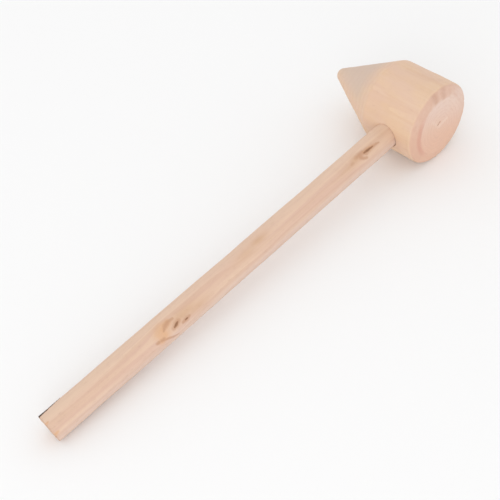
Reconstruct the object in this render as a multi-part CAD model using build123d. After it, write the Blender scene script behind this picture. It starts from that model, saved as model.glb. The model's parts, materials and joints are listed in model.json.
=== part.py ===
from build123d import *
import math
import os

# A light wooden mallet, lying on a flat surface.
#
# It is designed in a frame of its own: the head's axis is the X axis, with the cone's tip towards -X and
# the striking face towards +X, and the handle's axis is the Y axis, with the butt towards -Y. The two
# axes cross at the origin. laid_down() then turns each finished piece about the head's axis until the
# head and the butt's lower edge both touch the surface, and moves it so that the origin is at the
# middle of the whole mallet's base.

# Driving dimensions, in millimetres.

# Head: a cylinder with a bevelled face and a blunt cone behind it, turned in one piece.
head_diameter = 50.0
face_distance = 20.0  # handle axis to the flat of the striking face
shoulder_distance = 17.0  # handle axis to the corner where the cone starts
cone_length = 41.5  # that corner to the end of the rounded tip
tip_radius = 4.5
shoulder_radius = 3.0
face_bevel_width = 7.0  # shallow bevel round the striking face, measured in from the side of the head
face_bevel_depth = 1.9  # the same bevel, measured back from the flat of the face
face_edge_radius = 2.0  # where the bevel meets the side

# Handle: a round rod that goes right through the head.
handle_diameter = 16.0
handle_length = 300.0  # sawn butt to the end that lies flush with the far side of the head
grip_length = 80.0  # the stretch at full diameter, from the butt
handle_taper = 0.8  # how much thinner the handle is at the head than at the grip, in diameter

# Eye: the hole through the head. Its far end flares to an oval along the head's axis.
eye_clearance = 0.2  # radial gap where the handle goes in
eye_flare = 0.9  # extra half width at the far mouth
flare_depth = 22.0  # far side of the head to where the flare starts

# Wedge: it is driven into a saw kerf in the handle's end and spreads it into the flare.
kerf_width = 1.2
kerf_depth = 24.0  # from the far side of the head
wedge_length = 19.0

cut_margin = 2.0  # how far a cutting shape stands past the surface that it cuts

# Sizes and places that follow.
head_radius = head_diameter / 2
handle_radius = handle_diameter / 2
tenon_radius = handle_radius - handle_taper / 2
butt_distance = handle_length - head_radius
tip_x = -(shoulder_distance + cone_length)
flare_start_y = head_radius - flare_depth
mouth_y = head_radius + cut_margin

# The head's centre is head_radius above the surface, and the butt's lower edge meets it.
butt_edge_distance = math.hypot(butt_distance, handle_radius)
butt_edge_angle = math.atan2(handle_radius, butt_distance)
lay_angle = math.asin(head_radius / butt_edge_distance) - butt_edge_angle

# The mallet's extent along Y once it is laid down.
butt_end_y = -(butt_distance * math.cos(lay_angle) + handle_radius * math.sin(lay_angle))
base_middle = Vector((tip_x + face_distance) / 2, (butt_end_y + head_radius) / 2, -head_radius)


def laid_down(design):
    """A piece or a place in the design frame, moved to where it lies."""
    return Pos(-base_middle) * Rot(X=math.degrees(lay_angle)) * design


def along_y(radius, start, end):
    """A cylinder about the handle's axis."""
    middle = Pos(0, (start + end) / 2, 0)
    return middle * Rot(X=90) * Cylinder(radius, end - start)


def head_round():
    """The head's cylinder carried on at both ends, which trims what lies flush with the head."""
    return Rot(Y=90) * Cylinder(head_radius, 4 * handle_diameter)


def spread_tenon():
    """The outside of the handle's end where the wedge has spread it, and so the flared part of the eye.
    It starts round and ends oval, past the far side of the head."""
    spread = eye_flare * (mouth_y - flare_start_y) / flare_depth
    start = Plane((0, flare_start_y, 0), x_dir=(1, 0, 0), z_dir=(0, 1, 0))
    end = Plane((0, mouth_y, 0), x_dir=(1, 0, 0), z_dir=(0, 1, 0))
    round_end = start * Circle(tenon_radius)
    oval_end = end * Ellipse(tenon_radius + spread, tenon_radius)
    return loft([round_end, oval_end], ruled=True)


def kerf_half_width(y):
    """Half the width of the kerf, which opens from where the flare starts."""
    opening = max(0.0, y - flare_start_y) * eye_flare / flare_depth
    return kerf_width / 2 + opening


def kerf_from(bottom_y):
    """The kerf's space from bottom_y to past the far side of the head."""
    levels = sorted({bottom_y, max(bottom_y, flare_start_y), mouth_y})
    right = [(kerf_half_width(y), y) for y in levels]
    left = [(-x, y) for x, y in reversed(right)]
    outline = make_face(Polyline(*right, *left, close=True))
    return extrude(outline, handle_diameter, both=True)


def head_profile():
    """Half of the head's section, from the axis out."""
    tip_centre_x = tip_x + tip_radius
    back = -shoulder_distance - tip_centre_x
    touch_angle = math.atan2(head_radius, back) + math.acos(tip_radius / math.hypot(back, head_radius))

    def on_tip(angle):
        return tip_centre_x + tip_radius * math.cos(angle), tip_radius * math.sin(angle)

    tip = ThreePointArc(on_tip(math.pi), on_tip((math.pi + touch_angle) / 2), on_tip(touch_angle))
    rest = Polyline(
        on_tip(touch_angle),
        (-shoulder_distance, head_radius),
        (face_distance - face_bevel_depth, head_radius),
        (face_distance, head_radius - face_bevel_width),
        (face_distance, 0),
        on_tip(math.pi),
    )
    profile = make_face(Curve() + [tip, rest])
    profile = fillet(profile.vertices().group_by(Axis.Y)[-1].sort_by(Axis.X)[-1], face_edge_radius)
    return fillet(profile.vertices().group_by(Axis.Y)[-1].sort_by(Axis.X)[0], shoulder_radius)


def make_head():
    """The turned head with its eye, which is a loose fit where the handle goes in and tight where it
    comes out."""
    turned = revolve(head_profile(), Axis.X)
    entry = along_y(tenon_radius + eye_clearance, -head_radius - cut_margin, flare_start_y)
    return turned - entry - spread_tenon()


def make_handle():
    """The rod, its taper towards the head, and the end that is kerfed, spread and cut flush."""
    outline = Polyline(
        (0, -butt_distance),
        (handle_radius, -butt_distance),
        (handle_radius, grip_length - butt_distance),
        (tenon_radius, -head_radius),
        (tenon_radius, flare_start_y),
        (0, flare_start_y),
        close=True,
    )
    rod = revolve(make_face(outline), Axis.Y)
    flush_end = spread_tenon() & head_round()
    return rod + flush_end - kerf_from(head_radius - kerf_depth)


def make_wedge():
    """The wedge, as wide as the handle's end and cut flush with it."""
    return kerf_from(head_radius - wedge_length) & spread_tenon() & head_round()


def place_in_metres(design_place):
    """A place in the design frame as it is once laid down, in metres."""
    place = laid_down(Pos(*design_place)).position
    return tuple(round(value / 1000, 6) for value in place)


pieces = {
    "mallet_head": make_head(),
    "handle": make_handle(),
    "handle_wedge": make_wedge(),
}

os.makedirs("parts", exist_ok=True)
for name, piece in pieces.items():
    solid = laid_down(piece.solid())
    export_step(solid, f"parts/{name}.step")

print("striking face", place_in_metres((face_distance, 0, 0)))
print("grip, middle", place_in_metres((0, grip_length / 2 - butt_distance, 0)))
print("butt face", place_in_metres((0, -butt_distance, 0)))
print("handle's direction", (0, round(-math.cos(lay_angle), 6), round(-math.sin(lay_angle), 6)))
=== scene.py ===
import json
import math

import bmesh
import bpy
import numpy as np
from mathutils import Matrix, Quaternion, Vector


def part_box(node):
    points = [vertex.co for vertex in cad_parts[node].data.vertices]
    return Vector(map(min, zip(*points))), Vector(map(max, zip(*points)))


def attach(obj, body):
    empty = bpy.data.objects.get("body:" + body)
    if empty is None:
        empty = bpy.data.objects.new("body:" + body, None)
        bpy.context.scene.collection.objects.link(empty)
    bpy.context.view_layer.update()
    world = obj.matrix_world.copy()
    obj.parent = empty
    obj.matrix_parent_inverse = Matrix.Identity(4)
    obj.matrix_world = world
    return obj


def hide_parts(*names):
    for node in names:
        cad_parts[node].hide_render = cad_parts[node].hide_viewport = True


# A light wooden mallet: a turned head with a flat face and a blunt cone, wedged on a round handle.
#
# Every mesh is made in the mallet's own frame, in millimetres: X along the head from the cone's tip to the
# striking face, Y along the handle from the butt to the head, and Z square to both, with the origin where
# the two axes cross. to_row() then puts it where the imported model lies, in metres.

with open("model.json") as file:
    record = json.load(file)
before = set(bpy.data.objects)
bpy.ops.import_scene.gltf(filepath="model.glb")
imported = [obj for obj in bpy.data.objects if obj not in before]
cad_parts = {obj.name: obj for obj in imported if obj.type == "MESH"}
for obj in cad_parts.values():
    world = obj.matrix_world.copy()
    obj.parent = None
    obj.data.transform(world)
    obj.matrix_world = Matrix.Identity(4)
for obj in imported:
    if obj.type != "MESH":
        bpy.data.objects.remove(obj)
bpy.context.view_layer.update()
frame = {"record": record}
scene = bpy.context.scene

MM = 0.001

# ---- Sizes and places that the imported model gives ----

mounts = {mount["name"]: mount for mount in frame["record"]["mounts"]}
face_place = Vector(mounts["striking_face"]["pos_m"])
butt_place = Vector(mounts["butt_face"]["pos_m"])
crossing = Vector((butt_place.x, face_place.y, face_place.z))
head_axis = Vector(mounts["striking_face"]["axis"]).normalized()
handle_axis = -Vector(mounts["grip"]["axis"]).normalized()
side_axis = head_axis.cross(handle_axis)

HEAD_RADIUS = face_place.z / MM
FACE_X = (face_place.x - crossing.x) / MM
TIP_X = (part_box("mallet_head")[0][0] - crossing.x) / MM
BUTT_Y = -(butt_place - crossing).length / MM
HANDLE_RADIUS = mounts["grip"]["dims"]["r_mm"]
GRIP_LENGTH = mounts["grip"]["dims"]["length_mm"]

TO_ROW = Matrix.Translation(crossing) @ Matrix((head_axis, handle_axis, side_axis)).transposed().to_4x4()
TO_ROW = np.array(TO_ROW @ Matrix.Scale(MM, 4))

# ---- Sizes that repeat the CAD model's, in millimetres ----

SHOULDER_X = -17.0
TIP_RADIUS = 4.5
SHOULDER_RADIUS = 3.0
FACE_BEVEL_WIDTH = 7.0
FACE_BEVEL_DEPTH = 1.9
FACE_EDGE_RADIUS = 2.0
HANDLE_TAPER = 0.8
EYE_CLEARANCE = 0.2
EYE_FLARE = 0.9
FLARE_DEPTH = 22.0
KERF_WIDTH = 1.2
KERF_DEPTH = 24.0
WEDGE_LENGTH = 19.0

TENON_RADIUS = HANDLE_RADIUS - HANDLE_TAPER / 2
FLARE_START_Y = HEAD_RADIUS - FLARE_DEPTH
KERF_Y = HEAD_RADIUS - KERF_DEPTH

# ---- Unevenness: how far across each kind of hill is, how high, both in millimetres, and its seed ----

HEAD_SWELLS = (22, 0.05, 1)
TURNING_WAVES = (12, 0.03, 2)
FACE_SWELLS = (15, 0.035, 3)
BRUISES = (5.5, 1.0, 4)
TORN_FIBRES = (2.6, 0.07, 5)
BEVEL_WANDER = (9, 0.45, 6)
HANDLE_SWELLS = (38, 0.05, 21)
HANDLE_DENTS = (7, 0.025, 22)
BARK_CRUST = (1.5, 0.05, 23)
BUTT_DENTS = (4, 0.03, 24)

# ---- Meshes ----

JOIN_DISTANCE = 0.001  # vertices closer than this, in millimetres, are one
SHARP_ANGLE = 40  # edges that bend by more than this, in degrees, stay sharp


def to_row(places):
    """Points in the mallet's own frame, in millimetres, as points in the row frame, in metres."""
    return places @ TO_ROW[:3, :3].T + TO_ROW[:3, 3]


def hills(places, size, height, seed, count=14):
    """Smooth random unevenness: a sum of sine waves in random directions, about size across."""
    rng = np.random.default_rng(seed)
    total = np.zeros(places.shape[:-1])
    for _ in range(count):
        direction = rng.normal(size=3)
        direction *= rng.uniform(0.6, 1.6) * 2 * math.pi / (size * np.linalg.norm(direction))
        total += np.sin(places @ direction + rng.uniform(0, 2 * math.pi))
    return height * total / math.sqrt(count / 2)


def smooth(value, low, high):
    """0 below low, 1 above high, and an S-shaped rise between them. low may be the larger."""
    share = np.clip((value - low) / (high - low), 0, 1)
    return share * share * (3 - 2 * share)


class Shell:
    """Vertices and faces that are gathered part by part and made into one closed mesh."""

    def __init__(self):
        self.places = []
        self.faces = []
        self.count = 0

    def add(self, places):
        """Adds an array of points, and returns their numbers in an array of the same shape."""
        flat = np.asarray(places, float).reshape(-1, 3)
        self.places.append(flat)
        numbers = np.arange(self.count, self.count + len(flat))
        self.count += len(flat)
        return numbers.reshape(np.shape(places)[:-1])

    def quads(self, a, b, c, d):
        """Four-sided faces from four equal arrays of vertex numbers."""
        self.faces += np.stack([np.ravel(a), np.ravel(b), np.ravel(c), np.ravel(d)], 1).tolist()

    def grid(self, numbers, skip=None):
        """Faces between the rows and columns of an array of vertex numbers."""
        keep = np.ones((numbers.shape[0] - 1, numbers.shape[1] - 1), bool)
        if skip is not None:
            keep &= ~skip
        corners = (numbers[:-1, :-1], numbers[1:, :-1], numbers[1:, 1:], numbers[:-1, 1:])
        self.quads(*(corner[keep] for corner in corners))

    def tube(self, rings, skip=None):
        """Faces between closed rings of vertex numbers."""
        self.grid(np.column_stack([rings, rings[:, :1]]), skip)

    def disc(self, ring, centre):
        """A fan of triangles from a closed ring to one vertex."""
        self.faces += [[a, b, centre] for a, b in zip(ring.tolist(), np.roll(ring, -1).tolist())]

    def places_array(self):
        """Every vertex added so far, one row each."""
        return np.concatenate(self.places)

    def make(self, name, relief=None):
        """The object, with its vertices moved by relief(places), its wood's own place in the attribute
        "wood", coinciding vertices joined and its corners left sharp."""
        places = self.places_array()
        shaped = places if relief is None else relief(places)
        mesh = bpy.data.meshes.new(name)
        mesh.from_pydata(to_row(shaped).tolist(), [], self.faces)
        wood = mesh.attributes.new("wood", "FLOAT_VECTOR", "POINT")
        wood.data.foreach_set("vector", places.astype(np.float32).ravel())
        work = bmesh.new()
        work.from_mesh(mesh)
        bmesh.ops.remove_doubles(work, verts=work.verts, dist=JOIN_DISTANCE * MM)
        bmesh.ops.delete(work, geom=[v for v in work.verts if not v.link_faces], context="VERTS")
        bmesh.ops.recalc_face_normals(work, faces=work.faces)
        work.to_mesh(mesh)
        work.free()
        mesh.shade_smooth()
        mesh.set_sharp_from_angle(angle=math.radians(SHARP_ANGLE))
        piece = bpy.data.objects.new(name, mesh)
        scene.collection.objects.link(piece)
        return piece


def wood_places(piece):
    """The "wood" attribute of a finished piece, one row a vertex."""
    data = piece.data.attributes["wood"].data
    places = np.empty(len(data) * 3, np.float32)
    data.foreach_get("vector", places)
    return places.reshape(-1, 3).astype(float)


def set_vectors(piece, name, vectors):
    """Writes three numbers a vertex to an attribute, which is made if it isn't there."""
    attribute = piece.data.attributes.get(name) or piece.data.attributes.new(name, "FLOAT_VECTOR", "POINT")
    attribute.data.foreach_set("vector", np.asarray(vectors, np.float32).ravel())


def even(start, end, step):
    """Evenly spaced values from start to end, about step apart."""
    return np.linspace(start, end, max(2, math.ceil(abs(end - start) / step) + 1))


# ---- The eye, the spread tenon and the kerf, which three pieces share ----


def spread_at(y):
    """How far the wedge has pushed each half of the tenon outwards."""
    return np.maximum(0, y - FLARE_START_Y) * EYE_FLARE / FLARE_DEPTH


def kerf_at(y):
    """Half the kerf's width."""
    return KERF_WIDTH / 2 + spread_at(y)


def flush_y(z):
    """The far side of the head, which the tenon and the wedge are cut flush with."""
    return np.sqrt(HEAD_RADIUS**2 - z**2)


# ---- Head ----

HEAD_COLUMNS = 320
EYE_PATCH = 12.0  # half the side of the square of surface round the eye
EYE_PATCH_COLUMNS = round(math.asin(EYE_PATCH / HEAD_RADIUS) / (2 * math.pi) * HEAD_COLUMNS)
ENTRY_EDGE = 0.14  # rounding of the eye's rim where the handle goes in
MOUTH_EDGE = 0.15  # and where it comes out
EYE_SHIFT = (0.15, -0.12)  # the handle sits against one side of the eye, so the gap shows on the other
BEVEL_CORNER_RADIUS = 5.0  # where the bevel meets the flat of the face, which use has softened
EYE_NARROWING = 4.0  # length over which the loose part of the eye narrows to the tight part
EYE_PATCH_RINGS = 13  # between the patch's border and the eye's rim
EYE_LEVELS = 40  # along the eye

# Mesh spacing along the head's half section. The cone's runs on as far as the eye's patch.
CONE_STEP = 0.6
SIDE_STEP = 0.5
BEVEL_STEP = 0.4
SHOULDER_STEP = 0.3
EDGE_STEP = 0.28


def arc(centre_x, centre_r, radius, start, end, step):
    """Points of an arc in the head's half section."""
    angles = even(start, end, step / radius)
    return np.array([centre_x, centre_r]) + radius * np.stack([np.cos(angles), np.sin(angles)], 1)


def straight(start, end, step):
    """Points of a line in the head's half section."""
    start, end = np.array(start), np.array(end)
    share = even(0, 1, step / np.linalg.norm(end - start))[:, None]
    return start + (end - start) * share


def head_section():
    """The points of the head's half section from the tip to the middle of the face, and the numbers of
    the points where the eye's patch begins and ends."""
    tip_centre = TIP_X + TIP_RADIUS
    back = SHOULDER_X - tip_centre
    slope = math.atan2(HEAD_RADIUS, back) + math.acos(TIP_RADIUS / math.hypot(back, HEAD_RADIUS))
    cone_out = np.array([math.cos(slope), math.sin(slope)])
    bend_x = SHOULDER_X + SHOULDER_RADIUS * (1 - math.sin(slope)) / -math.cos(slope)
    bend_r = HEAD_RADIUS - SHOULDER_RADIUS
    tilt = math.atan2(FACE_BEVEL_DEPTH, FACE_BEVEL_WIDTH)
    bevel_out = np.array([math.cos(tilt), math.sin(tilt)])
    flat_r = HEAD_RADIUS - FACE_BEVEL_WIDTH
    edge_r = HEAD_RADIUS - FACE_EDGE_RADIUS
    bevel_reach = bevel_out @ (FACE_X, flat_r)
    edge_x = (bevel_reach - FACE_EDGE_RADIUS - bevel_out[1] * edge_r) / bevel_out[0]
    corner = np.array([FACE_X - BEVEL_CORNER_RADIUS, flat_r - BEVEL_CORNER_RADIUS * math.tan(tilt / 2)])
    bevel_start = np.array([edge_x, edge_r]) + FACE_EDGE_RADIUS * bevel_out
    bevel_end = corner + BEVEL_CORNER_RADIUS * bevel_out
    cone_start = np.array([tip_centre, 0]) + TIP_RADIUS * cone_out
    cone_end = np.array([bend_x, bend_r]) + SHOULDER_RADIUS * cone_out
    lengths = [
        arc(tip_centre, 0, TIP_RADIUS, math.pi, slope, SIDE_STEP),
        straight(cone_start, cone_end, CONE_STEP),
        arc(bend_x, bend_r, SHOULDER_RADIUS, slope, math.pi / 2, SHOULDER_STEP),
        straight((bend_x, HEAD_RADIUS), (-EYE_PATCH, HEAD_RADIUS), CONE_STEP),
        straight((-EYE_PATCH, HEAD_RADIUS), (EYE_PATCH, HEAD_RADIUS), SIDE_STEP),
        straight((EYE_PATCH, HEAD_RADIUS), (edge_x, HEAD_RADIUS), SIDE_STEP),
        arc(edge_x, edge_r, FACE_EDGE_RADIUS, math.pi / 2, tilt, EDGE_STEP),
        straight(bevel_start, bevel_end, BEVEL_STEP),
        arc(*corner, BEVEL_CORNER_RADIUS, tilt, 0, EDGE_STEP),
        straight((FACE_X, corner[1]), (FACE_X, 0), SIDE_STEP),
    ]
    starts = np.cumsum([0] + [len(points) - 1 for points in lengths])
    section = np.concatenate([points[:-1] for points in lengths] + [lengths[-1][-1:]])
    return section, starts[4], starts[5]


def on_head(x, z, side):
    """A place on the head's cylinder, on the butt's side of it (-1) or on the far side (+1)."""
    return np.stack([x, side * flush_y(z), z], -1)


def oval(angles, half_x, half_z, shift=(0, 0)):
    """The x and z of an oval's points about the handle's axis, or about a place off it by shift."""
    return shift[0] + half_x * np.cos(angles), shift[1] + half_z * np.sin(angles)


def eye_rings(border):
    """Rings of points from the patch's border on the butt's side, through the eye, to the same border on
    the far side. border holds the x and z of its points."""
    angles = np.arctan2(border[:, 1], border[:, 0])
    entry = TENON_RADIUS + EYE_CLEARANCE
    mouth_x, mouth_z = TENON_RADIUS + EYE_FLARE, TENON_RADIUS

    def patch(half_x, half_z, edge, side, shift):
        """Rings from the border to the eye's rim, and the rings that round the rim's edge."""
        rim = np.stack(oval(angles, half_x + edge, half_z + edge, shift), 1)
        across = [rim + (border - rim) * share for share in even(1, 0, 1 / EYE_PATCH_RINGS)[1:]]
        surface = [on_head(ring[:, 0], ring[:, 1], side) for ring in across]
        rounded = []
        for turn in np.radians([22.5, 45, 67.5, 90]):
            left = edge * (1 - math.sin(turn))
            ring = on_head(*oval(angles, half_x + left, half_z + left, shift), side)
            ring[:, 1] -= side * edge * (1 - math.cos(turn))
            rounded.append(ring)
        return surface + rounded

    near = patch(entry, entry, ENTRY_EDGE, -1, EYE_SHIFT)
    far = patch(mouth_x, mouth_z, MOUTH_EDGE, 1, (0, 0))
    inside = []
    for share in np.linspace(0, 1, EYE_LEVELS)[1:-1]:
        y = near[-1][:, 1] * (1 - share) + far[-1][:, 1] * share
        narrowing = smooth(y, FLARE_START_Y - EYE_NARROWING, FLARE_START_Y)
        half = entry + (TENON_RADIUS - entry) * narrowing
        shift = np.array(EYE_SHIFT)[:, None] * (1 - narrowing)
        x, z = oval(angles, half + spread_at(y), half, shift)
        inside.append(np.stack([x, y, z], 1))
    return near + inside + far[::-1]


FACE_MIDDLE_FADE = 6.0  # how far in from the head's side the face's own unevenness takes to grow
FACE_RING_HEIGHT = 0.018  # the turning tool's rings on the face
FACE_RING_SPACING = 1.9
CENTRE_MARK_DEPTH = 0.45
PALE_SCRATCH_DEPTH = 0.05
BRUISE_DEPTH = 0.14
BRUISE_THRESHOLD = 0.75  # only the highest parts of the pattern are bruises
TORN_DEPTH = 0.22
RIM_REACH = (2.7, 1.2)  # where the rim's wear begins and where it is full, from the bevel's outer edge
BEVEL_SHARE = 0.6  # how much of that wear the rest of the bevel has

# Where the end grain tore as the rim was turned: angle, half width in degrees, and how badly.
TORN_STRETCHES = [(84, 10, 1.0), (103, 8, 0.7)]

# Scratches on the face: the y and z of both ends, and half the width.
CENTRE_MARK = ((-1.9, 1.6), (0.3, 2.8), 0.7)
FAINT_SCRATCH = ((-6.5, 7.2), (-1.5, 0.0), 1.5)
PALE_SCRATCH = ((-1.5, 0.0), (5.9, 1.2), 1.8)


def head_relief(places):
    """The turned head as it really is: a little uneven, with a bruised and torn rim, faint turning rings
    and scratches on the face, and the lathe centre's mark near its middle."""
    x, y, z = places.T
    radius = np.hypot(y, z)
    out = np.stack([np.zeros_like(x), y, z], 1) / np.maximum(radius, 1)[:, None]
    on_face = smooth(x, FACE_X - FACE_BEVEL_DEPTH, FACE_X)
    on_face *= smooth(radius, HEAD_RADIUS, HEAD_RADIUS - FACE_MIDDLE_FADE)
    side_height = hills(places, *HEAD_SWELLS) + hills(places * (2.2, 0.4, 0.4), *TURNING_WAVES)
    in_eye = smooth(np.hypot(x, z), TENON_RADIUS + 0.9, TENON_RADIUS + 0.3) * (x < FACE_X - 5)
    side_height = np.where(in_eye > 0.5, 0, side_height)
    shaped = places + out * (side_height * smooth(radius, 3, 8))[:, None]
    face_height = hills(places, *FACE_SWELLS)
    face_height += FACE_RING_HEIGHT * np.sin(2 * math.pi * radius / FACE_RING_SPACING)
    face_height -= CENTRE_MARK_DEPTH * centre_mark(places) + PALE_SCRATCH_DEPTH * pale_scratches(places)
    shaped[:, 0] += face_height * on_face
    bruises = BRUISE_DEPTH * np.maximum(0, hills(places, *BRUISES) - BRUISE_THRESHOLD)
    torn = torn_rim(places) * (TORN_DEPTH + hills(places, *TORN_FIBRES))
    depth = (bruises + torn) * np.maximum(rim_nearness(places), BEVEL_SHARE * on_bevel(places))
    inwards = -out * 0.7 - np.array([0.7, 0, 0])
    return shaped + inwards * depth[:, None]


def rim_nearness(places):
    """1 on the rounded outer edge of the face's bevel, falling to 0 past it on both sides."""
    x, y, z = places.T
    radius = np.hypot(y, z)
    from_edge = np.hypot(x - FACE_X + FACE_BEVEL_DEPTH, radius - HEAD_RADIUS + 1.2)
    return smooth(from_edge, *RIM_REACH) * (x > 0)


def on_bevel(places):
    """1 on the bevel round the face and 0 on the flat inside it and on the head's side. Its inner edge
    wanders a little."""
    x, y, z = places.T
    radius = np.hypot(y, z) + hills(places, *BEVEL_WANDER)
    outer_x = FACE_X - FACE_BEVEL_DEPTH
    inner_radius = HEAD_RADIUS - FACE_BEVEL_WIDTH
    return smooth(x, outer_x - 0.9, outer_x + 0.1) * smooth(radius, inner_radius - 0.9, inner_radius + 1.6)


def rim_angle(places, towards):
    """How far round the face's rim a place is from an angle, in degrees either way. 0 is towards the
    butt and 90 is the side that lies uppermost."""
    around = np.degrees(np.arctan2(places[:, 2], -places[:, 1])) - towards
    return np.abs((around + 180) % 360 - 180)


def torn_rim(places):
    """How badly the end grain is torn, at a place's angle round the rim."""
    return sum(depth * smooth(rim_angle(places, at), half, 1) for at, half, depth in TORN_STRETCHES)


def scratch(places, start, end, half_width):
    """1 along the middle of a scratch on the face, falling to 0 at its sides."""
    start, end = np.array(start), np.array(end)
    run = end - start
    share = np.clip((places[:, 1:] - start) @ run / (run @ run), 0, 1)
    away = np.linalg.norm(places[:, 1:] - start - share[:, None] * run, axis=1)
    return smooth(away, half_width, 0.2 * half_width) * (places[:, 0] > FACE_X - 1)


def centre_mark(places):
    """The short dark scar that the lathe's centre left near the middle of the face."""
    return scratch(places, *CENTRE_MARK)


def pale_scratches(places):
    """Two long shallow scratches that meet beside the lathe centre's scar."""
    return np.maximum(0.6 * scratch(places, *FAINT_SCRATCH), scratch(places, *PALE_SCRATCH))


def make_head():
    """The head's mesh: rows of points turned about its axis, with a square hole on the butt's side and on
    the far side, which the eye's rings fill and join."""
    section, patch_start, patch_end = head_section()
    turn = np.arange(HEAD_COLUMNS) * 2 * math.pi / HEAD_COLUMNS
    x = np.repeat(section[1:-1, :1], HEAD_COLUMNS, 1)
    radius = section[1:-1, 1:]
    shell = Shell()
    rows = shell.add(np.stack([x, -radius * np.cos(turn), radius * np.sin(turn)], -1))
    ends = shell.add(np.array([[TIP_X, 0, 0], [FACE_X, 0, 0]]))

    half = HEAD_COLUMNS // 2
    reach = EYE_PATCH_COLUMNS
    first, last = patch_start - 1, patch_end - 1  # row numbers, less the tip's one vertex
    skip = np.zeros((len(rows) - 1, HEAD_COLUMNS), bool)
    skip[first:last, np.arange(-reach, reach) % HEAD_COLUMNS] = True
    skip[first:last, np.arange(half - reach, half + reach)] = True
    shell.tube(rows, skip)
    shell.disc(rows[0], ends[0])
    shell.disc(rows[-1], ends[1])

    loop = [(i, -reach) for i in range(first, last)]
    loop += [(last, j) for j in range(-reach, reach)]
    loop += [(i, reach) for i in range(last, first, -1)]
    loop += [(first, j) for j in range(reach, -reach, -1)]
    near = np.array([rows[i, j % HEAD_COLUMNS] for i, j in loop])
    far = np.array([rows[i, half - j] for i, j in loop])
    border = shell.places_array()[near][:, [0, 2]]
    rings = [near] + [shell.add(ring) for ring in eye_rings(border)] + [far]
    shell.tube(np.array(rings))
    return shell.make("turned_head", head_relief)


# ---- Handle ----

ARC_COLUMNS = 63  # round each half of the handle, either side of the kerf
END_EDGE = 0.14  # rounding of the flush end's edges
BUTT_EDGE = 0.28  # rounding of the butt's edge
BUTT_RINGS = 18  # on the butt's face
CHEEK_ROWS = 30  # along each half of the split tenon
CAP_COLUMNS = 14  # across each half of the split tenon

# Where the handle's rings are: start and end of each stretch from the butt, and the spacing. They are
# closer together at the butt, the knots and the head.
STRETCHES = [(BUTT_EDGE, 16, 0.3), (16, 64, 0.7), (64, 98, 0.3), (98, 212, 0.7), (212, 243, 0.3)]
LAST_STEP = 0.5


def handle_radius_at(y):
    """The handle's radius: even along the grip, then easing down to the tenon's at the head."""
    start, end = BUTT_Y + GRIP_LENGTH, -HEAD_RADIUS
    return HANDLE_RADIUS + (TENON_RADIUS - HANDLE_RADIUS) * np.clip((y - start) / (end - start), 0, 1)


def handle_columns(y):
    """Angles of a ring's points: the right half, one over the kerf, the left half, one under it."""
    half_turn = math.acos(kerf_at(y) / (handle_radius_at(y) + spread_at(y)))
    right = np.linspace(-half_turn, half_turn, ARC_COLUMNS)
    return np.concatenate([right, [math.pi / 2], right + math.pi, [-math.pi / 2]])


def handle_ring(y, inset=0.0):
    """The points round the handle at y, set in from its surface."""
    angles = handle_columns(y)
    radius = handle_radius_at(y) - inset
    return np.stack([radius * np.cos(angles), np.full(len(angles), y), radius * np.sin(angles)], 1)


def handle_stations():
    """The y of each ring along the handle, from the butt's edge to the bottom of the kerf."""
    places = [even(start, end, step)[:-1] for start, end, step in STRETCHES]
    places.append(even(STRETCHES[-1][1], KERF_Y - BUTT_Y, LAST_STEP))
    return BUTT_Y + np.concatenate(places)


def cheek_section(share, inset, side):
    """One half of the split tenon at a share of its length: points from the kerf's flat side to the
    round side, for each level of z."""
    row_y = KERF_Y + (HEAD_RADIUS - KERF_Y) * share
    half_turn = math.acos(kerf_at(row_y) / (TENON_RADIUS + spread_at(row_y)))
    z = TENON_RADIUS * np.sin(np.linspace(-half_turn, half_turn, ARC_COLUMNS))
    y = KERF_Y + (flush_y(z) - KERF_Y) * share
    flat = kerf_at(y)
    round_side = np.maximum(flat, (TENON_RADIUS + spread_at(y)) * np.sqrt(1 - (z / TENON_RADIUS) ** 2))
    z = z * (1 - inset / TENON_RADIUS)
    width = np.maximum(0, (round_side - flat) * (1 - 2 * inset / TENON_RADIUS))
    steps = np.linspace(0, 1, CAP_COLUMNS)
    x = flat[:, None] + inset + width[:, None] * steps
    y, z = (np.repeat(values[:, None], CAP_COLUMNS, 1) for values in (y, z))
    return np.stack([side * x, y, z], -1)


def edge_steps(edge):
    """How far from the end and how far in from the side each row is that rounds an edge."""
    turns = np.radians([0, 30, 60, 90])
    return [(edge * (1 - math.sin(turn)), edge * (1 - math.cos(turn))) for turn in turns]


def end_steps():
    """Shares of the length and insets for the rows that round a flush end's edge."""
    length = HEAD_RADIUS - KERF_Y
    return [(1 - back / length, inset) for back, inset in edge_steps(END_EDGE)]


def rim_of(grid):
    """The border of a grid of vertex numbers, in order."""
    return np.concatenate([grid[:-1, 0], grid[-1, :-1], grid[:0:-1, -1], grid[0, :0:-1]])


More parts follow.
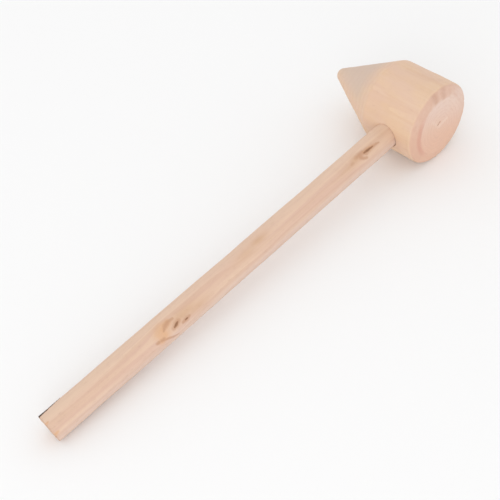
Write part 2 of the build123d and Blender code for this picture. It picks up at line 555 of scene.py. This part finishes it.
def make_handle():
    """The handle's mesh: the butt's face and rounded edge, the rod as far as the kerf, and the two halves
    of the split tenon."""
    shell = Shell()
    rounding = [handle_ring(BUTT_Y + back, inset) for back, inset in edge_steps(BUTT_EDGE)[:0:-1]]
    butt_insets = BUTT_EDGE + (HANDLE_RADIUS - BUTT_EDGE) * even(1, 0, 1 / BUTT_RINGS)[1:]
    butt_face = [handle_ring(BUTT_Y, inset) for inset in butt_insets]
    body = [handle_ring(y) for y in handle_stations()]
    rings = shell.add(np.array(butt_face + rounding + body))
    centre = shell.add(np.array([[0, BUTT_Y, 0]]))[0]
    shell.tube(rings)
    shell.disc(rings[0], centre)

    flats = []
    for side in (1, -1):
        sections = [cheek_section(share, 0, side) for share in np.linspace(0, 1, CHEEK_ROWS)[:-1]]
        sections += [cheek_section(share, inset, side) for share, inset in end_steps()]
        grids = shell.add(np.array(sections))
        shell.tube(np.array([rim_of(grid) for grid in grids]))
        shell.grid(grids[-1])
        flats.append(grids[0][:, 0])
    right, left = flats
    shell.quads(right[:-1], right[1:], left[1:], left[:-1])
    over, under = rings[-1][ARC_COLUMNS], rings[-1][-1]
    shell.faces += [[int(right[-1]), int(over), int(left[-1])], [int(right[0]), int(left[0]), int(under)]]
    return shell.make("wood_handle", handle_relief)


# ---- The handle's knots, bark and patches ----

# Places on the handle's surface are given as millimetres from the butt and degrees round it, from the
# striking face's side (0) to the side that lies uppermost (90).

# Each knot: its middle, its size, and how far it stands proud.
KNOTS = [
    {"at": (76.5, 40.0), "size": 4.6, "swell": 0.16},
    {"at": (227.0, 54.0), "size": 2.6, "swell": 0.08},
]
# A knot's swelling and its parted grain are longer than they are wide, so lengths count for less.
SWELL_STRETCH = 0.7
GRAIN_STRETCH = 0.5
GRAIN_PUSH = 0.55  # how strongly a knot parts the grain

# Strokes: points along each one, and half its width at each point.
DARK_STROKES = [
    ([(79.5, 33.8), (81, 37.5), (82.3, 41.8)], [0.55, 0.85, 0.5]),
    ([(86.4, 27), (87.3, 27.6), (88.1, 28.6)], [0.3, 0.5, 0.3]),
    ([(228, 59.5), (230, 58.8), (232.6, 57.7), (235.2, 56.4)], [0.45, 0.8, 0.65, 0.25]),
]
BROWN_STROKES = [
    ([(79, 32.5), (81, 37.5), (83, 43.5)], [1.2, 1.6, 1.2]),
    ([(84.6, 26.5), (87.3, 27.6), (89.4, 30)], [0.8, 1.3, 0.7]),
    ([(81.5, 64), (78.5, 64.9), (76.1, 61.5), (74.6, 55), (73.6, 49)], [0.6, 1, 1.2, 0.9, 0.5]),
    ([(69.9, 26.2), (71.2, 25.3)], [0.9, 1]),
    ([(67, 28.9), (68.2, 28)], [0.8, 0.8]),
    ([(70.9, 21.5), (73.9, 14.8), (76.4, 5.1), (80, -2)], [0.4, 0.7, 0.6, 0.3]),
    ([(227, 60), (230, 58.8), (233.5, 57.2), (237.5, 55), (239.8, 51.5)], [1.1, 1.6, 1.2, 0.7, 0.4]),
    ([(227.4, 67), (225, 63), (224.6, 54.3), (225.6, 43.5), (227.7, 36.5)], [1.2, 1.6, 1.3, 0.9, 0.8]),
    ([(229.6, 57), (228.2, 52.5), (229.2, 47)], [0.5, 0.5, 0.4]),
]
HONEY_STROKES = [
    ([(78, 66), (73.5, 60), (71.8, 50), (72.4, 38), (70, 27)], [1.5, 2.8, 3.4, 3, 2]),
    ([(228, 62.5), (232, 60.5), (235, 58.5)], [0.7, 0.9, 0.5]),
    ([(0.4, 23.5), (2.2, 26)], [1, 0.6]),
    ([(0.5, 74), (1.6, 76)], [0.6, 0.4]),
]
# Soft brown smudges beside the second knot: middle, half length, half width and depth of tone.
BROWN_SMUDGES = [
    ((223.4, 66), 3, 1.7, 0.7),
    ((217.8, 57), 2.2, 1.4, 0.6),
]
# Wide soft patches of darker, sandier wood, in the same form.
TAN_PATCHES = [
    ((87, 50), 11, 3.2, 0.9),
    ((95, 38), 9, 2.6, 0.7),
    ((145.4, 74.7), 6.5, 2.3, 0.9),
    ((135.3, 68), 8, 2.6, 0.6),
    ((219, 57), 12, 3, 0.6),
    ((222, 63), 6, 2.6, 1),
    ((232, 60), 11, 3.4, 0.5),
    ((246, 75), 7, 5, 0.5),
    ((110, 220), 14, 3, 0.6),
    ((186, 262), 18, 2.6, 0.7),
    ((38, 300), 15, 3, 0.5),
]
BARK_AT = 143.0  # the middle of the strip of bark at the butt
BARK_HALF_WIDTH = 3.0
BARK_LENGTH = 14.0
BARK_HEIGHT = 0.05
# The butt was sawn a little off square: how much longer the rod is per millimetre towards +X and +Z.
BUTT_SLANT = (0.050, 0.070)
BUTT_SLANT_REACH = 12.0
BOW = 0.22  # how far the rod bends towards +X at the middle of its length
CRACK_DEPTH = 0.2
STROKE_DEPTH = 0.05
SAW_MARK_DEPTH = 0.02


def on_surface(places):
    """Millimetres from the butt and degrees round the handle."""
    return places[:, 1] - BUTT_Y, np.degrees(np.arctan2(places[:, 2], places[:, 0]))


def across(around, middle):
    """Millimetres round the surface from an angle."""
    return HANDLE_RADIUS * np.radians((around - middle + 180) % 360 - 180)


def stroke(along, around, points, half_widths):
    """1 on a line through the points, 0.5 at the line's edge and 0 as far again beyond it."""
    best = np.zeros_like(along)
    for k in range(len(points) - 1):
        (a0, t0), (a1, t1) = points[k], points[k + 1]
        run, turn = a1 - a0, HANDLE_RADIUS * math.radians(t1 - t0)
        u, v = along - a0, across(around, t0)
        share = np.clip((u * run + v * turn) / (run * run + turn * turn), 0, 1)
        distance = np.hypot(u - share * run, v - share * turn)
        half = half_widths[k] + (half_widths[k + 1] - half_widths[k]) * share
        best = np.maximum(best, 1 - distance / (2 * half))
    return best


def strokes(along, around, several):
    """The strongest of several strokes at each place."""
    return np.max([stroke(along, around, *one) for one in several], 0)


def patches(along, around, several):
    """The strongest of several soft oval patches at each place."""
    total = np.zeros_like(along)
    for (at, turn), half_length, half_width, depth in several:
        u, v = (along - at) / half_length, across(around, turn) / half_width
        total = np.maximum(total, depth * np.exp(-(u * u + v * v)))
    return total


def bark_on(along, around):
    """Over 0.5 in the strip of bark that the rod kept at its butt, which narrows to a point."""
    left = 1 - along / BARK_LENGTH
    half = BARK_HALF_WIDTH * np.sqrt(np.clip(left, 0, 1))
    return np.clip(0.5 + (half - np.abs(across(around, BARK_AT))) / 3 + 2 * np.minimum(left, 0), 0, 1)


def handle_relief(places):
    """The rod as it really is: a little bowed and uneven, swollen and split at its knots, with a strip of
    bark at its butt and saw marks on its end."""
    along, around = on_surface(places)
    x, _, z = places.T
    radius = np.hypot(x, z)
    out = np.stack([x, np.zeros_like(x), z], 1) / np.maximum(radius, 0.5)[:, None]
    on_side = smooth(radius, 5.5, 7.0) * smooth(places[:, 1], -HEAD_RADIUS + 1, -HEAD_RADIUS - 6)
    height = hills(places, *HANDLE_SWELLS) + hills(places * (1, 0.35, 1), *HANDLE_DENTS)
    for knot in KNOTS:
        u, v = (along - knot["at"][0]) * SWELL_STRETCH, across(around, knot["at"][1])
        height += knot["swell"] * np.exp(-((np.hypot(u, v) / knot["size"]) ** 2))
    height -= CRACK_DEPTH * smooth(strokes(along, around, DARK_STROKES), 0.35, 0.9)
    height -= STROKE_DEPTH * strokes(along, around, BROWN_STROKES)
    height += smooth(bark_on(along, around), 0.45, 0.6) * (BARK_HEIGHT + hills(places, *BARK_CRUST))
    shaped = places + out * (height * on_side)[:, None]
    bow = BOW * np.sin(math.pi * np.clip(along / -BUTT_Y, 0, 1))
    shaped[:, 0] += bow * smooth(places[:, 1], -HEAD_RADIUS, -HEAD_RADIUS - 20)
    saw_marks = SAW_MARK_DEPTH * np.sin(x * 4.1 + z * 1.3) + hills(places, *BUTT_DENTS)
    shaped[:, 1] += saw_marks * smooth(along, 0.2, 0)
    shaped[:, 1] -= (BUTT_SLANT[0] * x + BUTT_SLANT[1] * z) * smooth(along, BUTT_SLANT_REACH, 0)
    return shaped


def grain_round_knots(places):
    """The wood's own place for each point of the handle, with the grain parting round its knots. The first
    number is along the grain."""
    along, around = on_surface(places)
    radius = np.hypot(places[:, 0], places[:, 2])
    for knot in KNOTS:
        u, v = (along - knot["at"][0]) * GRAIN_STRETCH, across(around, knot["at"][1])
        reach = knot["size"] ** 2 * GRAIN_PUSH
        pushed = v * (1 - reach / np.maximum(u * u + v * v, reach))
        around = around + np.degrees((pushed - v) / HANDLE_RADIUS)
    angle = np.radians(around)
    return np.stack([along, radius * np.cos(angle), radius * np.sin(angle)], 1)


WEDGE_LEVELS = 48  # up the wedge's broad sides
WEDGE_COLUMNS = 7  # across its thickness
WEDGE_ROWS = 20  # along it


def make_wedge():
    """The wedge between the two halves, cut flush with them. Its thin end is blunt."""
    length = HEAD_RADIUS - KERF_Y
    start = 1 - WEDGE_LENGTH / length
    shares = list(np.linspace(start, 1, WEDGE_ROWS)[:-1])
    steps = [(share, 0.0) for share in shares] + end_steps()
    sections = []
    for share, inset in steps:
        row_y = KERF_Y + length * share
        half_z = TENON_RADIUS * math.sqrt(1 - (kerf_at(row_y) / (TENON_RADIUS + spread_at(row_y))) ** 2)
        z = np.linspace(-half_z + inset, half_z - inset, WEDGE_LEVELS)[:, None]
        y = KERF_Y + (flush_y(z) - KERF_Y) * share
        x = (kerf_at(y) - inset) * np.linspace(-1, 1, WEDGE_COLUMNS)
        y, z = (np.repeat(values, WEDGE_COLUMNS, 1) for values in (y, z))
        sections.append(np.stack([x, y, z], -1))
    shell = Shell()
    grids = shell.add(np.array(sections))
    shell.tube(np.array([rim_of(grid) for grid in grids]))
    shell.grid(grids[0])
    shell.grid(grids[-1])
    return shell.make("driven_wedge")


# ---- Materials ----


def srgb(red, green, blue):
    """A colour as a screen shows it, from 0 to 255, as the linear colour that a shader takes."""
    shown = [value / 255 for value in (red, green, blue)]
    return tuple(v / 12.92 if v <= 0.04045 else ((v + 0.055) / 1.055) ** 2.4 for v in shown) + (1.0,)


# Colours as a screen shows them, from 0 to 255.
HEAD_TONES = {
    "pink ground": (226, 193, 170),
    "sandy ground": (229, 196, 164),
    "late wood": (214, 172, 142),
    "pale strand": (231, 203, 180),
    "fibre": (219, 184, 158),
    # painted shade: the greyer, darker colour of the cone's upper side, where less light falls
    "grey cone": (203, 184, 172),
    "lower face": (228, 182, 158),
    "upper face": (231, 209, 200),
    "face patch": (227, 192, 174),
    "face fleck": (240, 220, 208),
    "face ring": (206, 162, 142),
    "scratch": (243, 224, 210),
    "bevel": (216, 175, 152),
    "bevel's inner edge": (208, 150, 132),
    "torn grain": (196, 154, 132),
    "centre mark": (178, 132, 108),
    "pore": (176, 134, 104),
}
HANDLE_TONES = {
    "pink streak": (219, 184, 165),
    "sandy streak": (227, 197, 173),
    # paler along the side that lies uppermost
    "sapwood": (229, 202, 178),
    # painted light: the paler, greyer colour of the handle's lower side, which faces the floor
    "cool side": (224, 200, 188),
    "late wood": (208, 168, 142),
    "pink strand": (208, 172, 158),
    "fibre": (216, 180, 156),
    "tan patch": (206, 166, 132),
    "end grain": (202, 160, 130),
    "pore": (168, 124, 96),
    "honey": (218, 170, 128),
    "brown": (188, 140, 110),
    "dark knot": (162, 120, 90),
    "crack": (112, 80, 60),
    "bark's edge": (170, 124, 90),
    "dark bark": (42, 32, 26),
    "light bark": (104, 80, 64),
}
WEDGE_TONES = {
    "early wood": (186, 142, 104),
    "late wood": (152, 106, 74),
    "fibre": (168, 122, 88),
    "pore": (96, 64, 44),
}
SPECULAR_LEVEL = 0.35  # bare wood, duller than a varnish
MIX_INPUTS = (6, 7)  # a Mix node's colour sockets, whose names its other sockets share
MIX_OUTPUT = 2


class Wood:
    """A material, with short names for the nodes that make its pattern."""

    def __init__(self, name, tones):
        self.material = bpy.data.materials.new(name)
        self.material.use_nodes = True
        self.nodes = self.material.node_tree.nodes
        self.shader = self.nodes["Principled BSDF"]
        self.tones = {tone: srgb(*shown) for tone, shown in tones.items()}
        self.colour = None  # what lay() has built up so far

    def lay(self, tone, share, strength=None):
        """Lays a tone over the colour so far, by share, times strength where there is one."""
        if strength is not None:
            share = self.maths("MULTIPLY", share, strength)
        self.colour = self.mix(share, self.colour, tone)

    def finish(self, roughness, normal):
        """Joins the colour, the roughness and the normal to the shader, and returns the material."""
        self.put(self.colour, self.shader.inputs["Base Color"])
        self.put(roughness, self.shader.inputs["Roughness"])
        self.put(normal, self.shader.inputs["Normal"])
        self.shader.inputs["Specular IOR Level"].default_value = SPECULAR_LEVEL
        return self.material

    def put(self, value, socket):
        """Links a socket's value to a socket, or sets it where it is a number or a colour."""
        if isinstance(value, bpy.types.NodeSocket):
            self.material.node_tree.links.new(value, socket)
        else:
            socket.default_value = value

    def node(self, kind, sockets):
        """A new node with its sockets, by their names or numbers, linked or set."""
        node = self.nodes.new("ShaderNode" + kind)
        for socket, value in sockets.items():
            self.put(value, node.inputs[socket])
        return node

    def attribute(self, name):
        """The three numbers a vertex that set_vectors() wrote."""
        node = self.nodes.new("ShaderNodeAttribute")
        node.attribute_name = name
        return node.outputs["Vector"]

    def parts(self, vector):
        """The three numbers of a vector, each as a socket."""
        return tuple(self.node("SeparateXYZ", {0: vector}).outputs)

    def vector(self, operation, first, second):
        """Vector arithmetic on two vectors."""
        node = self.node("VectorMath", {0: first, 1: second})
        node.operation = operation
        return node.outputs["Value"] if operation == "LENGTH" else node.outputs["Vector"]

    def from_axis(self, place):
        """How far a place is from the line along the grain through 0."""
        flat = self.vector("MULTIPLY", place, (0.0, 1.0, 1.0))
        return self.vector("LENGTH", flat, (0.0, 0.0, 0.0))

    def maths(self, operation, *values):
        """Arithmetic on two or three numbers."""
        node = self.node("Math", dict(enumerate(values)))
        node.operation = operation
        return node.outputs[0]

    def noise(self, place, per_mm, detail=3.0, roughness=0.5):
        """Noise from 0 to 1, with per_mm hills a millimetre along the grain and across it both ways."""
        sockets = {"Scale": 1.0, "Detail": detail, "Roughness": roughness}
        sockets["Vector"] = self.vector("MULTIPLY", place, per_mm)
        return self.node("TexNoise", sockets).outputs[0]

    def rise(self, value, low, high):
        """0 below low, 1 above high, and smooth between them."""
        node = self.node("MapRange", {"Value": value, "From Min": low, "From Max": high})
        node.interpolation_type = "SMOOTHSTEP"
        return node.outputs["Result"]

    def between(self, value, start, end):
        """start where value is 0 and end where it is 1."""
        return self.node("MapRange", {"Value": value, "To Min": start, "To Max": end}).outputs["Result"]

    def mix(self, share, *colours):
        """The first colour where share is 0 and the second where it is 1. A string is a tone's name."""
        node = self.nodes.new("ShaderNodeMix")
        node.data_type = "RGBA"
        self.put(share, node.inputs["Factor"])
        for colour, number in zip(colours, MIX_INPUTS):
            self.put(self.tones[colour] if isinstance(colour, str) else colour, node.inputs[number])
        return node.outputs[MIX_OUTPUT]

    def bump(self, height, distance_mm, under=None):
        """A normal for a pattern whose height from 0 to 1 stands for distance_mm, over another normal."""
        sockets = {"Strength": 1.0, "Distance": distance_mm * MM, "Height": height}
        if under is not None:
            sockets["Normal"] = under
        return self.node("Bump", sockets).outputs["Normal"]

    def rings(self, place, pith, spacing, wander):
        """Growth rings about the pith, which runs along the grain: 0 in the early wood, rising to 1 in the
        late wood at each ring's outer edge."""
        slow = self.noise(place, (0.012, 0.09, 0.09), 2.0)
        offset = self.vector("SUBTRACT", place, (0.0, *pith))
        wandering = self.maths("MULTIPLY_ADD", slow, wander, self.from_axis(offset))
        turns = self.maths("MULTIPLY", wandering, 1 / spacing)
        phase = self.maths("FRACT", turns)
        late = self.rise(phase, 0.25, 0.93)
        return self.maths("MULTIPLY", late, self.rise(phase, 1.0, 0.95))


def make_head_wood():
    """Pale turned wood with its grain along the head, and end grain on the face."""
    wood = Wood("pale_turned_wood", HEAD_TONES)
    place = wood.attribute("wood")
    torn, rim, rim_line = wood.parts(wood.attribute("marks"))
    high, face, painted_cone_shade = wood.parts(wood.attribute("tones"))
    scar, pale, _ = wood.parts(wood.attribute("scars"))

    ring = wood.rings(place, (0.6, 0.2), 2.3, 7.0)
    fibre = wood.noise(place, (0.09, 4.5, 4.5), 4.0, 0.6)
    strand = wood.noise(place, (0.03, 0.8, 0.8), 3.0)
    pore = wood.rise(wood.noise(place, (0.35, 8.0, 8.0), 1.0), 0.66, 0.78)
    mottle = wood.noise(place, (0.05, 0.11, 0.11), 3.0)
    patch = wood.noise(place, (0.35, 0.35, 0.35), 3.0)
    fleck = wood.noise(place, (0.3, 2.2, 2.2), 3.0)

    wood.colour = "pink ground"
    wood.lay("sandy ground", wood.rise(mottle, 0.35, 0.65))
    wood.lay("late wood", ring, 0.26)
    wood.lay("pale strand", wood.rise(strand, 0.45, 0.75), 0.35)
    wood.lay("fibre", wood.between(fibre, 0.0, 0.4))
    # painted shade on the cone's upper side
    wood.lay("grey cone", painted_cone_shade, 0.65)
    face_colour = wood.mix(high, "lower face", "upper face")
    face_colour = wood.mix(wood.between(patch, 0.0, 0.5), face_colour, "face patch")
    wood.lay(face_colour, face, 0.75)
    wood.lay("face fleck", wood.rise(fleck, 0.58, 0.72), wood.maths("MULTIPLY", face, 0.5))
    wood.lay("face ring", ring, wood.maths("MULTIPLY", face, wood.between(patch, -0.2, 0.42)))
    wood.lay("scratch", pale, wood.between(fleck, -0.15, 0.65))
    wood.lay("bevel", rim, wood.between(patch, 0.4, 1.0))
    wood.lay("bevel's inner edge", rim_line, 0.55)
    wood.lay("torn grain", torn, wood.between(fleck, 0.1, 0.9))
    wood.lay("centre mark", wood.rise(scar, 0.3, 0.9))
    wood.lay("pore", pore, 0.25)

    along, _, _ = wood.parts(place)
    turning = wood.nodes.new("ShaderNodeTexNoise")
    turning.noise_dimensions = "1D"
    wood.put(wood.maths("ADD", along, wood.from_axis(place)), turning.inputs["W"])
    turning.inputs["Scale"].default_value = 1.3
    turning.inputs["Detail"].default_value = 5.0
    turning.inputs["Roughness"].default_value = 0.6
    normal = wood.bump(turning.outputs[0], 0.10)
    normal = wood.bump(fibre, 0.06, normal)
    normal = wood.bump(wood.maths("SUBTRACT", 1.0, pore), 0.05, normal)
    return wood.finish(wood.between(fibre, 0.5, 0.72), normal)


def make_handle_wood():
    """Pinkish rod wood with long streaks, knots, sandy patches and a strip of bark."""
    wood = Wood("streaked_rod_wood", HANDLE_TONES)
    place = wood.attribute("wood")
    dark, brown, honey = wood.parts(wood.attribute("knots"))
    bark, tan, _ = wood.parts(wood.attribute("marks"))
    pale_top, painted_low_light, end = wood.parts(wood.attribute("tones"))

    ring = wood.rings(place, (2.5, -3.0), 2.6, 5.0)
    streak = wood.noise(place, (0.014, 0.42, 0.42), 3.0)
    strand = wood.noise(place, (0.03, 1.3, 1.3), 3.0)
    fibre = wood.noise(place, (0.11, 5.0, 5.0), 4.0, 0.6)
    pore = wood.rise(wood.noise(place, (0.3, 8.0, 8.0), 1.0), 0.66, 0.78)
    blot = wood.noise(place, (0.45, 0.6, 0.6), 4.0, 0.6)
    speck = wood.noise(place, (0.9, 2.6, 2.6), 4.0, 0.6)

    wood.colour = "pink streak"
    wood.lay("sandy streak", wood.rise(streak, 0.36, 0.64))
    # paler along the side that lies uppermost
    wood.lay("sapwood", pale_top, 0.5)
    # painted light on the lower side, making up for the shade from the floor
    wood.lay("cool side", painted_low_light, 0.7)
    wood.lay("late wood", ring, wood.between(end, 0.3, 0.75))
    wood.lay("pink strand", wood.rise(strand, 0.5, 0.8), 0.4)
    wood.lay("fibre", wood.between(fibre, 0.0, 0.4))
    wood.lay("tan patch", tan, 0.75)
    wood.lay("end grain", end, 0.4)
    wood.lay("pore", pore, 0.3)

    # The knots. Their outlines are made ragged with fine noise.
    wood.lay("honey", wood.rise(honey, 0.0, 0.9), wood.between(blot, 0.3, 0.95))
    ragged_brown = wood.maths("ADD", brown, wood.between(speck, -0.3, 0.3))
    brown_share = wood.maths("MULTIPLY", wood.rise(ragged_brown, 0.1, 0.9), wood.rise(brown, 0.0, 0.4))
    wood.lay("brown", brown_share, 0.62)
    ragged_dark = wood.maths("ADD", dark, wood.between(speck, -0.25, 0.25))
    wood.lay("dark knot", wood.rise(ragged_dark, 0.34, 0.7))
    crack = wood.rise(ragged_dark, 0.86, 0.98)
    wood.lay("crack", crack, 0.5)

    ragged_bark = wood.maths("ADD", bark, wood.between(blot, -0.22, 0.22))
    bark_share = wood.rise(ragged_bark, 0.48, 0.53)
    bark_noise = wood.noise(place, (0.8, 2.0, 2.0), 4.0)
    wood.lay("bark's edge", wood.rise(ragged_bark, 0.42, 0.49))
    wood.lay(wood.mix(bark_noise, "dark bark", "light bark"), bark_share)

    normal = wood.bump(fibre, 0.09)
    normal = wood.bump(wood.maths("SUBTRACT", 1.0, pore), 0.06, normal)
    saw_marks = wood.maths("MULTIPLY", end, wood.noise(place, (0.0, 0.5, 4.0), 4.0, 0.6))
    normal = wood.bump(saw_marks, 0.25, normal)
    bark_height = wood.maths("MULTIPLY", bark_share, wood.noise(place, (1.5, 3.0, 3.0), 4.0, 0.65))
    normal = wood.bump(bark_height, 0.35, normal)
    normal = wood.bump(wood.maths("SUBTRACT", 1.0, crack), 0.15, normal)
    bark_roughness = wood.maths("MULTIPLY", bark_share, 0.9)
    return wood.finish(wood.maths("MAXIMUM", wood.between(fibre, 0.5, 0.75), bark_roughness), normal)


def make_wedge_wood():
    """Darker, closer-grained wood."""
    wood = Wood("dark_wedge_wood", WEDGE_TONES)
    place = wood.attribute("wood")
    ring = wood.rings(place, (14.0, 3.0), 1.1, 3.0)
    fibre = wood.noise(place, (0.2, 6.0, 6.0), 4.0, 0.6)
    pore = wood.rise(wood.noise(place, (0.4, 7.0, 7.0), 1.0), 0.6, 0.74)
    wood.colour = "early wood"
    wood.lay("late wood", ring, 0.6)
    wood.lay("fibre", wood.between(fibre, 0.1, 0.6))
    wood.lay("pore", pore, 0.6)
    return wood.finish(wood.between(fibre, 0.5, 0.7), wood.bump(fibre, 0.06))


# ---- The three pieces ----

CONE_SHADE_REACH = 14.0  # length over which the painted shade on the cone's upper side grows
FACE_TONE_FADE = (-0.6, 0.4)  # where the face's own tone begins and is full, from the bevel's outer edge
RIM_DARK_SIDE = 45  # the bevel is darkest at this angle round it
RIM_LIGHTEST, RIM_DARKEST = 115, 65  # degrees from there where the darkening begins and is full
RIM_LEAST = 0.12  # the darkening on the rest of the bevel
INNER_EDGE_OFFSET = 0.6  # the red line lies this far outside the bevel's inner edge
PALE_TOP_AT, PALE_TOP_REACH = 118, (9, 3)  # degrees round the handle, and millimetres from there: none, and full
# painted light along the lower side, which faces the floor: angle and reach in the same form
LOW_LIGHT_AT, LOW_LIGHT_REACH = -25, (8, 3)
KNOT_FADE = (0.8, 0.93)  # shares of the handle's radius: knots show on its side, not on its ends
END_SHARE = 0.9  # how much of an end's rounded edge still counts as end grain


def finish_head():
    """The head with its marks: torn and bruised rim and the face's tones, and painted shade that greys the
    cone's upper side.
    """
    piece = make_head()
    places = wood_places(piece)
    x, y, z = places.T
    radius = np.hypot(y, z)
    none = np.zeros_like(x)
    bevel_x = FACE_X - FACE_BEVEL_DEPTH
    face = smooth(x, bevel_x + FACE_TONE_FADE[0], bevel_x + FACE_TONE_FADE[1])
    high = smooth(0.35 * y + z, -11, 19)
    # painted shade: the cone's upper side is painted greyer, fading in from the shoulder
    painted_cone_shade = smooth(x, SHOULDER_X, SHOULDER_X - CONE_SHADE_REACH) * smooth(z + 0.3 * y, -4, 9)
    bevel = on_bevel(places)
    torn = torn_rim(places) * bevel
    from_dark_side = smooth(rim_angle(places, RIM_DARK_SIDE), RIM_LIGHTEST, RIM_DARKEST)
    rim = bevel * (RIM_LEAST + (1 - RIM_LEAST) * from_dark_side)
    from_inner_edge = np.abs(radius - HEAD_RADIUS + FACE_BEVEL_WIDTH - INNER_EDGE_OFFSET)
    inner_edge = smooth(from_inner_edge, 2.2, 0.5) * (x > FACE_X - 1)
    rim_line = inner_edge * smooth(rim_angle(places, 5), 60, 20)
    set_vectors(piece, "marks", np.stack([torn, rim, rim_line], 1))
    set_vectors(piece, "scars", np.stack([centre_mark(places), pale_scratches(places), none], 1))
    set_vectors(piece, "tones", np.stack([high, face, painted_cone_shade], 1))
    piece.data.materials.append(make_head_wood())
    return piece


def finish_handle():
    """The handle with its knots, bark, patches, a paler stripe along its upper side, and painted light
    that makes its lower side paler and greyer.
    """
    piece = make_handle()
    places = wood_places(piece)
    along, around = on_surface(places)
    x, y, z = places.T
    none = np.zeros_like(x)
    on_side = smooth(np.hypot(x, z), HANDLE_RADIUS * KNOT_FADE[0], HANDLE_RADIUS * KNOT_FADE[1])
    knots = [
        strokes(along, around, DARK_STROKES),
        np.maximum(strokes(along, around, BROWN_STROKES), patches(along, around, BROWN_SMUDGES)),
        strokes(along, around, HONEY_STROKES),
    ]
    marks = [bark_on(along, around), patches(along, around, TAN_PATCHES), none]
    # paler towards the side that lies uppermost
    pale_top = smooth(np.abs(across(around, PALE_TOP_AT)), *PALE_TOP_REACH)
    # painted light: paler and greyer towards the lower side
    painted_low_light = smooth(np.abs(across(around, LOW_LIGHT_AT)), *LOW_LIGHT_REACH)
    flush_end = y > flush_y(np.clip(z, -HANDLE_RADIUS, HANDLE_RADIUS)) - END_EDGE * END_SHARE
    end = (along < BUTT_EDGE * END_SHARE) | flush_end
    set_vectors(piece, "knots", np.stack(knots, 1) * on_side[:, None])
    set_vectors(piece, "marks", np.stack(marks, 1) * on_side[:, None])
    set_vectors(piece, "tones", np.stack([pale_top * on_side, painted_low_light * on_side, end], 1))
    set_vectors(piece, "wood", grain_round_knots(places))
    piece.data.materials.append(make_handle_wood())
    return piece


def finish_wedge():
    """The wedge, with its grain along the handle."""
    piece = make_wedge()
    set_vectors(piece, "wood", wood_places(piece)[:, [1, 0, 2]])
    piece.data.materials.append(make_wedge_wood())
    return piece


for piece, node, slot in (
    (finish_head(), "mallet_head", "head_wood"),
    (finish_handle(), "handle", "handle_wood"),
    (finish_wedge(), "handle_wedge", "wedge_wood"),
):
    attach(piece, "root")
    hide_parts(node)

# ---- Floor, light and camera, in metres ----

FLOOR_SIZE = 8
FLOOR_COLOUR = (0.93, 0.93, 0.93, 1)
FLOOR_ROUGHNESS = 0.9
WORLD_STRENGTH = 0.968
LIGHTS = [("softbox", (-0.7, -0.1, 0.95), 0.4), ("fill", (0.75, -0.95, 0.3), 3.6)]  # place and watts
LIGHT_SIZE = 1.2
CAMERA_AZIMUTH = math.radians(53.18)
CAMERA_ELEVATION = math.radians(47.47)
CAMERA_ROLL = math.radians(-9.91)
CAMERA_AIM = Vector((0.01366, -0.00547, 0.0116))
CAMERA_DISTANCE = 0.5674
CAMERA_LENS = 74.88

bpy.ops.mesh.primitive_plane_add(size=FLOOR_SIZE)
floor = bpy.context.object
floor.name = "floor"
pale = bpy.data.materials.new("pale_floor")
pale.use_nodes = True
shader = pale.node_tree.nodes["Principled BSDF"]
shader.inputs["Base Color"].default_value = FLOOR_COLOUR
shader.inputs["Roughness"].default_value = FLOOR_ROUGHNESS
floor.data.materials.append(pale)

world = bpy.data.worlds.new("studio")
world.use_nodes = True
background = world.node_tree.nodes["Background"]
background.inputs["Color"].default_value = (1, 1, 1, 1)
background.inputs["Strength"].default_value = WORLD_STRENGTH
scene.world = world
scene.view_settings.view_transform = "Standard"

for name, place, watts in LIGHTS:
    light = bpy.data.objects.new(name, bpy.data.lights.new(name, "AREA"))
    scene.collection.objects.link(light)
    light.data.shape = "DISK"
    light.data.size = LIGHT_SIZE
    light.data.energy = watts
    light.location = place
    light.rotation_euler = Vector(place).to_track_quat("Z", "Y").to_euler()

camera = bpy.data.objects.new("camera", bpy.data.cameras.new("camera"))
scene.collection.objects.link(camera)
scene.camera = camera
level = math.cos(CAMERA_ELEVATION)
back_x = level * math.sin(CAMERA_AZIMUTH)
back_y = -level * math.cos(CAMERA_AZIMUTH)
back = Vector((back_x, back_y, math.sin(CAMERA_ELEVATION)))
camera.location = CAMERA_AIM + back * CAMERA_DISTANCE
camera.rotation_euler = (back.to_track_quat("Z", "Y") @ Quaternion((0, 0, 1), CAMERA_ROLL)).to_euler()
camera.data.sensor_width = 36
camera.data.lens = CAMERA_LENS
camera.data.clip_start = 0.01
